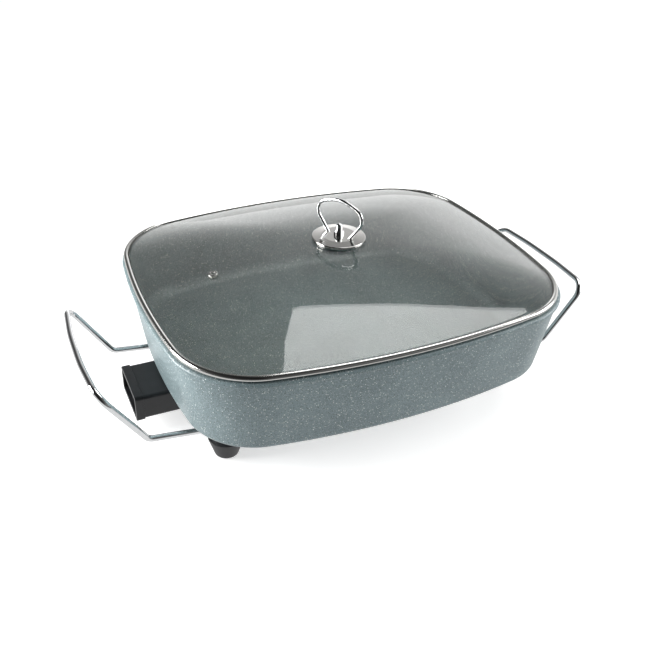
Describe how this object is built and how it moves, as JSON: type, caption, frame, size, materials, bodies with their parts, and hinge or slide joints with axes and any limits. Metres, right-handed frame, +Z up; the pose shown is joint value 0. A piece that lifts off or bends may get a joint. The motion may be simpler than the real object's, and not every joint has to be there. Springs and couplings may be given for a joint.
{
  "type": "electric skillet",
  "caption": "Rounded-rectangle cast electric skillet with a stone-effect coat, domed lift-off glass lid with a wire loop grip, wire side handles, tapered feet and an end socket.",
  "frame": {"origin": "on the table surface, under the middle of the pan", "axes": "+X along the pan away from the heater socket, +Y across it to the back, +Z up"},
  "size_m": [0.5306, 0.335, 0.1997],
  "materials": {
    "granite_coat": "satin",
    "element_steel": "matte",
    "plated_pin": "polished",
    "white_ceramic": "gloss",
    "black_phenolic": "satin",
    "foot_phenolic": "satin",
    "zinc_screw": "satin",
    "chrome_wire": "polished",
    "lid_glass": "gloss",
    "rim_steel": "polished",
    "eyelet_steel": "polished",
    "silicone": "matte",
    "disc_steel": "brushed",
    "chrome_nut": "polished"
  },
  "bodies": {
    "base": {"pan_body": "granite_coat", "heating_element": "element_steel", "terminal_pin_front": "plated_pin", "terminal_pin_back": "plated_pin", "terminal_bush_front": "white_ceramic", "terminal_bush_back": "white_ceramic", "probe_tube": "plated_pin", "connector_shroud": "black_phenolic", "shroud_screw_front": "zinc_screw", "shroud_screw_back": "zinc_screw", "foot_left_front": "foot_phenolic", "foot_left_back": "foot_phenolic", "foot_right_front": "foot_phenolic", "foot_right_back": "foot_phenolic", "foot_screw_left_front": "zinc_screw", "foot_screw_left_back": "zinc_screw", "foot_screw_right_front": "zinc_screw", "foot_screw_right_back": "zinc_screw", "side_handle_left": "chrome_wire", "side_handle_right": "chrome_wire"},
    "lid": {"lid_glass": "lid_glass", "lid_rim_ring": "rim_steel", "vent_eyelet": "eyelet_steel", "handle_gasket": "silicone", "inner_gasket": "silicone", "handle_plate": "disc_steel", "handle_disc": "disc_steel", "handle_bail": "chrome_wire", "cap_nut": "chrome_nut", "lid_screw": "zinc_screw", "inner_washer": "disc_steel"}
  },
  "joints": [
    {"name": "lid_lift", "type": "slide", "parent": "base", "child": "lid", "axis": [0, 0, 1], "range_m": [0, 0.15]}
  ]
}
